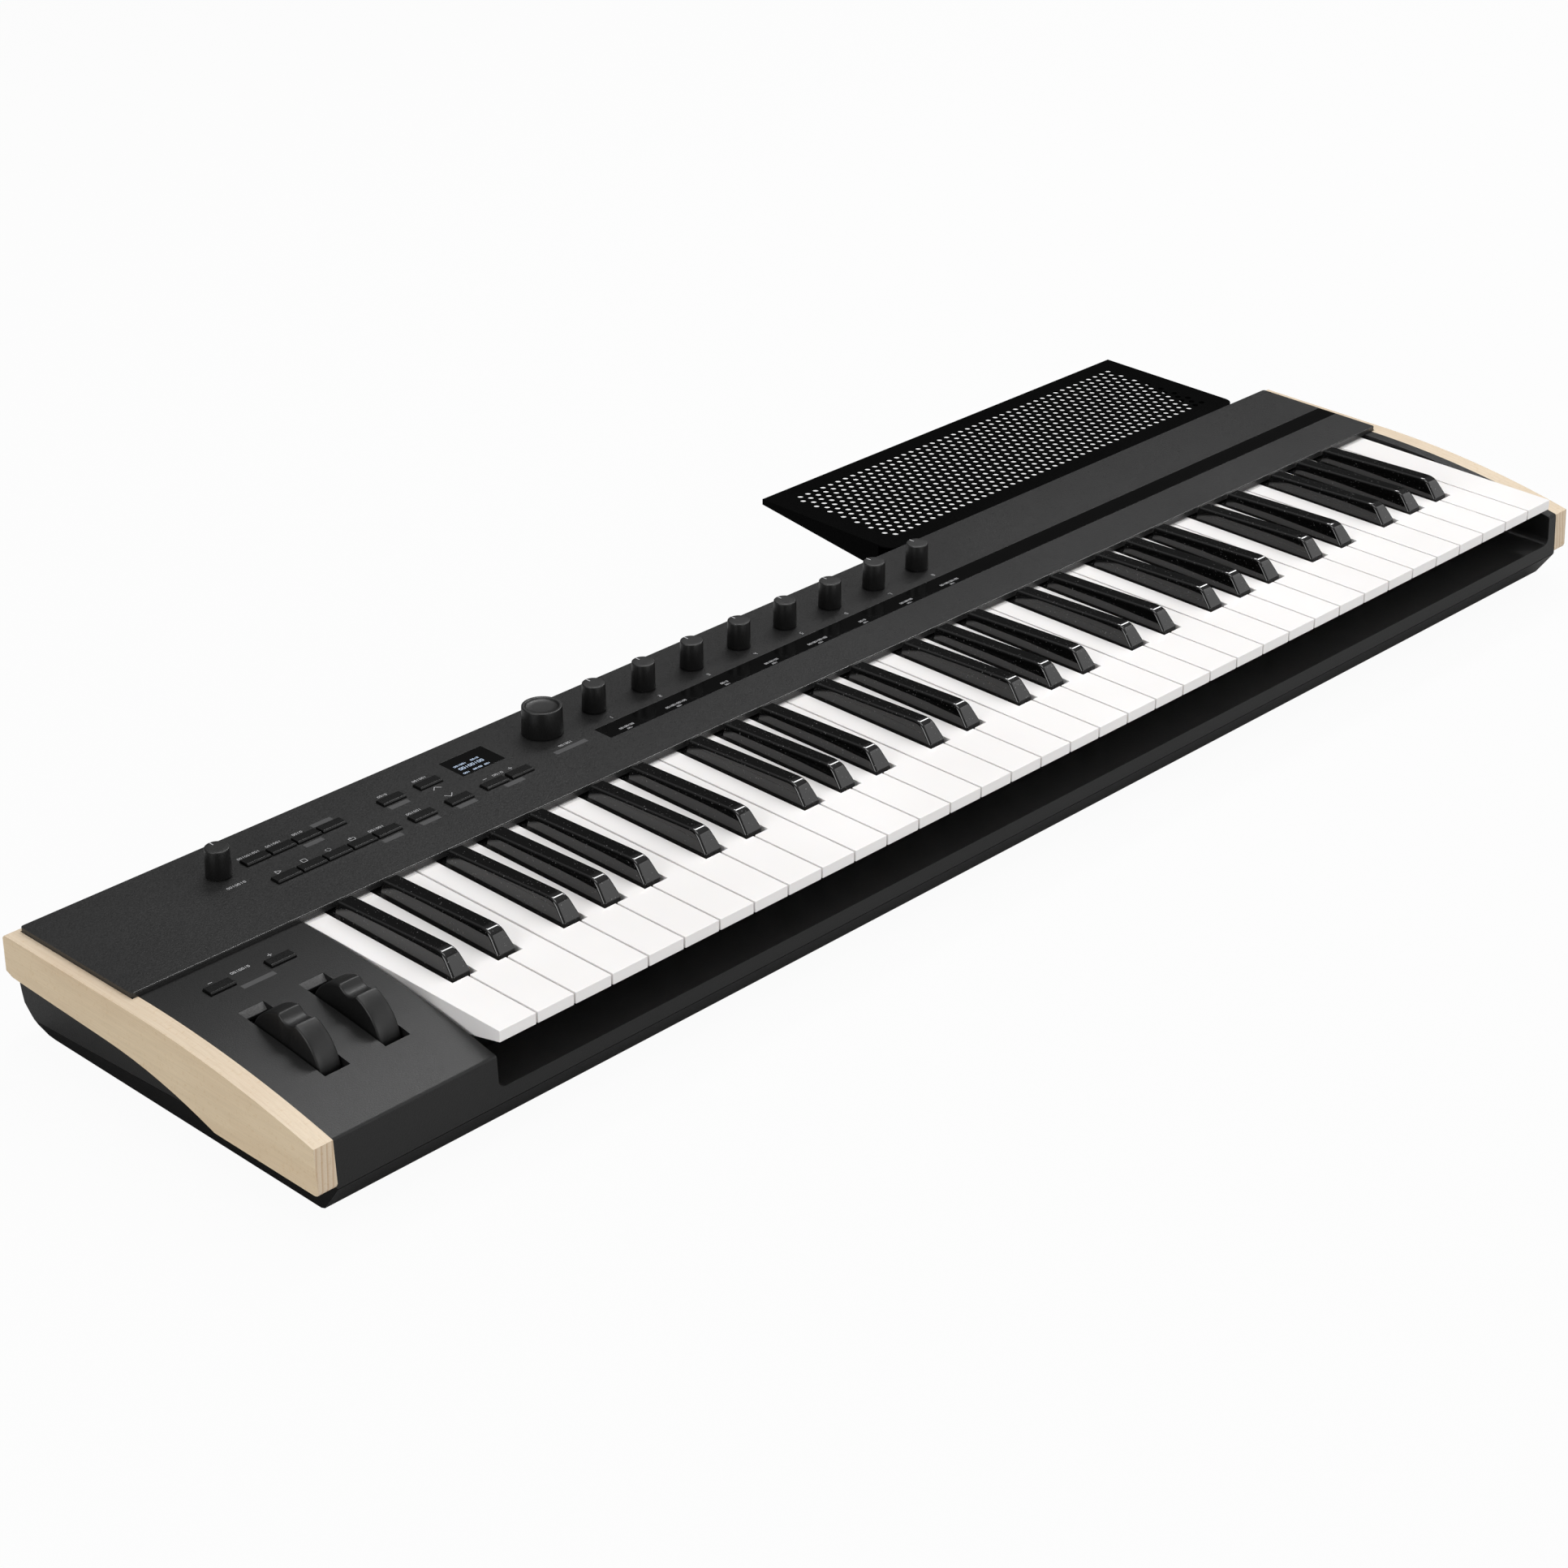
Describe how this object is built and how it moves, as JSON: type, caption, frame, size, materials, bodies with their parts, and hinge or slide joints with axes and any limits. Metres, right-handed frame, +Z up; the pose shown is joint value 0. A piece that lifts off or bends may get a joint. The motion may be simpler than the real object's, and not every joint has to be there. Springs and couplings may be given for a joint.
{
  "type": "keyboard synthesizer",
  "caption": "Keyboard synthesizer with full-size keys, two wheels, a knob and button panel, displays, wooden end cheeks and a perforated rear tray.",
  "frame": {"origin": "centre of the footprint, tray included, at the plane the feet stand on", "axes": "+X to the player's right along the keys, +Y to the back, +Z up"},
  "size_m": [0.9736, 0.3314, 0.0772],
  "materials": {
    "case_plastic": "satin",
    "pan_metal": "fine satin",
    "panel_metal": "fine textured matte",
    "maple": "clear satin lacquer",
    "display_glass": "gloss",
    "strip_glass": "gloss",
    "circuit_board": "satin",
    "steel": "satin",
    "black_plastic": "matte",
    "contact_rubber": "matte",
    "plate_metal": "matte",
    "connector_plastic": "satin",
    "foot_rubber": "matte",
    "tray_metal": "fine textured matte",
    "white_key": "satin gloss",
    "black_key": "high gloss",
    "button_plastic": "satin",
    "knob_plastic": "soft matte",
    "wheel_rubber": "matte"
  },
  "bodies": {
    "case": {"upper_case": "case_plastic", "bottom_pan": "pan_metal", "top_panel": "panel_metal", "cheek_left": "maple", "cheek_right": "maple", "display_window": "display_glass", "strip_window": "strip_glass", "panel_board": "circuit_board", "rotary_encoders": "steel", "tact_switches": "black_plastic", "key_chassis": "black_plastic", "contact_board": "circuit_board", "contact_rubber": "contact_rubber", "wheel_bracket": "steel", "connector_plate": "plate_metal", "connectors": "connector_plastic", "rubber_feet": "foot_rubber", "screws": "steel", "tray": "tray_metal"},
    "keys_c": {"keys_c": "white_key"},
    "keys_c_sharp": {"keys_c_sharp": "black_key"},
    "keys_d": {"keys_d": "white_key"},
    "keys_d_sharp": {"keys_d_sharp": "black_key"},
    "keys_e": {"keys_e": "white_key"},
    "keys_f": {"keys_f": "white_key"},
    "keys_f_sharp": {"keys_f_sharp": "black_key"},
    "keys_g": {"keys_g": "white_key"},
    "keys_g_sharp": {"keys_g_sharp": "black_key"},
    "keys_a": {"keys_a": "white_key"},
    "keys_a_sharp": {"keys_a_sharp": "black_key"},
    "keys_b": {"keys_b": "white_key"},
    "pitch_wheel": {"pitch_wheel": "wheel_rubber"},
    "mod_wheel": {"mod_wheel": "wheel_rubber"},
    "volume_knob": {"volume_knob": "knob_plastic"},
    "value_knob": {"value_knob": "knob_plastic"},
    "knob_1": {"knob_1": "knob_plastic"},
    "knob_2": {"knob_2": "knob_plastic"},
    "knob_3": {"knob_3": "knob_plastic"},
    "knob_4": {"knob_4": "knob_plastic"},
    "knob_5": {"knob_5": "knob_plastic"},
    "knob_6": {"knob_6": "knob_plastic"},
    "knob_7": {"knob_7": "knob_plastic"},
    "knob_8": {"knob_8": "knob_plastic"},
    "button_octave_down": {"button_octave_down": "button_plastic"},
    "button_octave_up": {"button_octave_up": "button_plastic"},
    "button_settings": {"button_settings": "button_plastic"},
    "button_write": {"button_write": "button_plastic"},
    "button_exit": {"button_exit": "button_plastic"},
    "button_shift": {"button_shift": "button_plastic"},
    "button_arp": {"button_arp": "button_plastic"},
    "button_value_up": {"button_value_up": "button_plastic"},
    "button_play": {"button_play": "button_plastic"},
    "button_stop": {"button_stop": "button_plastic"},
    "button_record": {"button_record": "button_plastic"},
    "button_loop": {"button_loop": "button_plastic"},
    "button_tempo": {"button_tempo": "button_plastic"},
    "button_chord": {"button_chord": "button_plastic"},
    "button_value_down": {"button_value_down": "button_plastic"},
    "button_page_left": {"button_page_left": "button_plastic"},
    "button_page_right": {"button_page_right": "button_plastic"}
  },
  "joints": [
    {"name": "keys_c_press", "type": "hinge", "parent": "case", "child": "keys_c", "pos_m": [0.04405, -0.0093, 0.049], "axis": [1, 0, 0], "range_deg": [0, 3.6], "stiffness_Nm_per_rad": 4.8, "springref_deg": -2.86},
    {"name": "keys_c_sharp_press", "type": "hinge", "parent": "case", "child": "keys_c_sharp", "pos_m": [0.04405, -0.0093, 0.049], "axis": [1, 0, 0], "range_deg": [0, 3.6], "stiffness_Nm_per_rad": 4, "springref_deg": -2.86},
    {"name": "keys_d_press", "type": "hinge", "parent": "case", "child": "keys_d", "pos_m": [0.04405, -0.0093, 0.049], "axis": [1, 0, 0], "range_deg": [0, 3.6], "stiffness_Nm_per_rad": 4, "springref_deg": -2.86},
    {"name": "keys_d_sharp_press", "type": "hinge", "parent": "case", "child": "keys_d_sharp", "pos_m": [0.04405, -0.0093, 0.049], "axis": [1, 0, 0], "range_deg": [0, 3.6], "stiffness_Nm_per_rad": 4, "springref_deg": -2.86},
    {"name": "keys_e_press", "type": "hinge", "parent": "case", "child": "keys_e", "pos_m": [0.04405, -0.0093, 0.049], "axis": [1, 0, 0], "range_deg": [0, 3.6], "stiffness_Nm_per_rad": 4, "springref_deg": -2.86},
    {"name": "keys_f_press", "type": "hinge", "parent": "case", "child": "keys_f", "pos_m": [0.04405, -0.0093, 0.049], "axis": [1, 0, 0], "range_deg": [0, 3.6], "stiffness_Nm_per_rad": 4, "springref_deg": -2.86},
    {"name": "keys_f_sharp_press", "type": "hinge", "parent": "case", "child": "keys_f_sharp", "pos_m": [0.04405, -0.0093, 0.049], "axis": [1, 0, 0], "range_deg": [0, 3.6], "stiffness_Nm_per_rad": 4, "springref_deg": -2.86},
    {"name": "keys_g_press", "type": "hinge", "parent": "case", "child": "keys_g", "pos_m": [0.04405, -0.0093, 0.049], "axis": [1, 0, 0], "range_deg": [0, 3.6], "stiffness_Nm_per_rad": 4, "springref_deg": -2.86},
    {"name": "keys_g_sharp_press", "type": "hinge", "parent": "case", "child": "keys_g_sharp", "pos_m": [0.04405, -0.0093, 0.049], "axis": [1, 0, 0], "range_deg": [0, 3.6], "stiffness_Nm_per_rad": 4, "springref_deg": -2.86},
    {"name": "keys_a_press", "type": "hinge", "parent": "case", "child": "keys_a", "pos_m": [0.04405, -0.0093, 0.049], "axis": [1, 0, 0], "range_deg": [0, 3.6], "stiffness_Nm_per_rad": 4, "springref_deg": -2.86},
    {"name": "keys_a_sharp_press", "type": "hinge", "parent": "case", "child": "keys_a_sharp", "pos_m": [0.04405, -0.0093, 0.049], "axis": [1, 0, 0], "range_deg": [0, 3.6], "stiffness_Nm_per_rad": 4, "springref_deg": -2.86},
    {"name": "keys_b_press", "type": "hinge", "parent": "case", "child": "keys_b", "pos_m": [0.04405, -0.0093, 0.049], "axis": [1, 0, 0], "range_deg": [0, 3.6], "stiffness_Nm_per_rad": 4, "springref_deg": -2.86},
    {"name": "pitch_wheel_turn", "type": "hinge", "parent": "case", "child": "pitch_wheel", "pos_m": [-0.44425, -0.1003, 0.044], "axis": [1, 0, 0], "range_deg": [-40, 40], "stiffness_Nm_per_rad": 0.05},
    {"name": "mod_wheel_turn", "type": "hinge", "parent": "case", "child": "mod_wheel", "pos_m": [-0.40915, -0.1003, 0.044], "axis": [1, 0, 0], "range_deg": [-40, 40]},
    {"name": "volume_knob_turn", "type": "hinge", "parent": "case", "child": "volume_knob", "pos_m": [-0.38315, 0.0327, 0.069], "axis": [0, 0, 1], "range_deg": [-150, 150]},
    {"name": "value_knob_turn", "type": "hinge", "parent": "case", "child": "value_knob", "pos_m": [-0.17095, 0.0337, 0.069], "axis": [0, 0, 1], "continuous": true},
    {"name": "knob_1_turn", "type": "hinge", "parent": "case", "child": "knob_1", "pos_m": [-0.13415, 0.0337, 0.069], "axis": [0, 0, 1], "continuous": true},
    {"name": "knob_2_turn", "type": "hinge", "parent": "case", "child": "knob_2", "pos_m": [-0.09805, 0.0337, 0.069], "axis": [0, 0, 1], "continuous": true},
    {"name": "knob_3_turn", "type": "hinge", "parent": "case", "child": "knob_3", "pos_m": [-0.06195, 0.0337, 0.069], "axis": [0, 0, 1], "continuous": true},
    {"name": "knob_4_turn", "type": "hinge", "parent": "case", "child": "knob_4", "pos_m": [-0.02585, 0.0337, 0.069], "axis": [0, 0, 1], "continuous": true},
    {"name": "knob_5_turn", "type": "hinge", "parent": "case", "child": "knob_5", "pos_m": [0.01025, 0.0337, 0.069], "axis": [0, 0, 1], "continuous": true},
    {"name": "knob_6_turn", "type": "hinge", "parent": "case", "child": "knob_6", "pos_m": [0.04635, 0.0337, 0.069], "axis": [0, 0, 1], "continuous": true},
    {"name": "knob_7_turn", "type": "hinge", "parent": "case", "child": "knob_7", "pos_m": [0.08245, 0.0337, 0.069], "axis": [0, 0, 1], "continuous": true},
    {"name": "knob_8_turn", "type": "hinge", "parent": "case", "child": "knob_8", "pos_m": [0.11855, 0.0337, 0.069], "axis": [0, 0, 1], "continuous": true},
    {"name": "button_octave_down_press", "type": "slide", "parent": "case", "child": "button_octave_down", "axis": [0, 0, -1], "range_m": [0, 0.0008], "stiffness_N_per_m": 600, "springref_m": -0.0008},
    {"name": "button_octave_up_press", "type": "slide", "parent": "case", "child": "button_octave_up", "axis": [0, 0, -1], "range_m": [0, 0.0008], "stiffness_N_per_m": 600, "springref_m": -0.0008},
    {"name": "button_settings_press", "type": "slide", "parent": "case", "child": "button_settings", "axis": [0, 0, -1], "range_m": [0, 0.0008], "stiffness_N_per_m": 600, "springref_m": -0.0008},
    {"name": "button_write_press", "type": "slide", "parent": "case", "child": "button_write", "axis": [0, 0, -1], "range_m": [0, 0.0008], "stiffness_N_per_m": 600, "springref_m": -0.0008},
    {"name": "button_exit_press", "type": "slide", "parent": "case", "child": "button_exit", "axis": [0, 0, -1], "range_m": [0, 0.0008], "stiffness_N_per_m": 600, "springref_m": -0.0008},
    {"name": "button_shift_press", "type": "slide", "parent": "case", "child": "button_shift", "axis": [0, 0, -1], "range_m": [0, 0.0008], "stiffness_N_per_m": 600, "springref_m": -0.0008},
    {"name": "button_arp_press", "type": "slide", "parent": "case", "child": "button_arp", "axis": [0, 0, -1], "range_m": [0, 0.0008], "stiffness_N_per_m": 600, "springref_m": -0.0008},
    {"name": "button_value_up_press", "type": "slide", "parent": "case", "child": "button_value_up", "axis": [0, 0, -1], "range_m": [0, 0.0008], "stiffness_N_per_m": 600, "springref_m": -0.0008},
    {"name": "button_play_press", "type": "slide", "parent": "case", "child": "button_play", "axis": [0, 0, -1], "range_m": [0, 0.0008], "stiffness_N_per_m": 600, "springref_m": -0.0008},
    {"name": "button_stop_press", "type": "slide", "parent": "case", "child": "button_stop", "axis": [0, 0, -1], "range_m": [0, 0.0008], "stiffness_N_per_m": 600, "springref_m": -0.0008},
    {"name": "button_record_press", "type": "slide", "parent": "case", "child": "button_record", "axis": [0, 0, -1], "range_m": [0, 0.0008], "stiffness_N_per_m": 600, "springref_m": -0.0008},
    {"name": "button_loop_press", "type": "slide", "parent": "case", "child": "button_loop", "axis": [0, 0, -1], "range_m": [0, 0.0008], "stiffness_N_per_m": 600, "springref_m": -0.0008},
    {"name": "button_tempo_press", "type": "slide", "parent": "case", "child": "button_tempo", "axis": [0, 0, -1], "range_m": [0, 0.0008], "stiffness_N_per_m": 600, "springref_m": -0.0008},
    {"name": "button_chord_press", "type": "slide", "parent": "case", "child": "button_chord", "axis": [0, 0, -1], "range_m": [0, 0.0008], "stiffness_N_per_m": 600, "springref_m": -0.0008},
    {"name": "button_value_down_press", "type": "slide", "parent": "case", "child": "button_value_down", "axis": [0, 0, -1], "range_m": [0, 0.0008], "stiffness_N_per_m": 600, "springref_m": -0.0008},
    {"name": "button_page_left_press", "type": "slide", "parent": "case", "child": "button_page_left", "axis": [0, 0, -1], "range_m": [0, 0.0008], "stiffness_N_per_m": 600, "springref_m": -0.0008},
    {"name": "button_page_right_press", "type": "slide", "parent": "case", "child": "button_page_right", "axis": [0, 0, -1], "range_m": [0, 0.0008], "stiffness_N_per_m": 600, "springref_m": -0.0008}
  ]
}
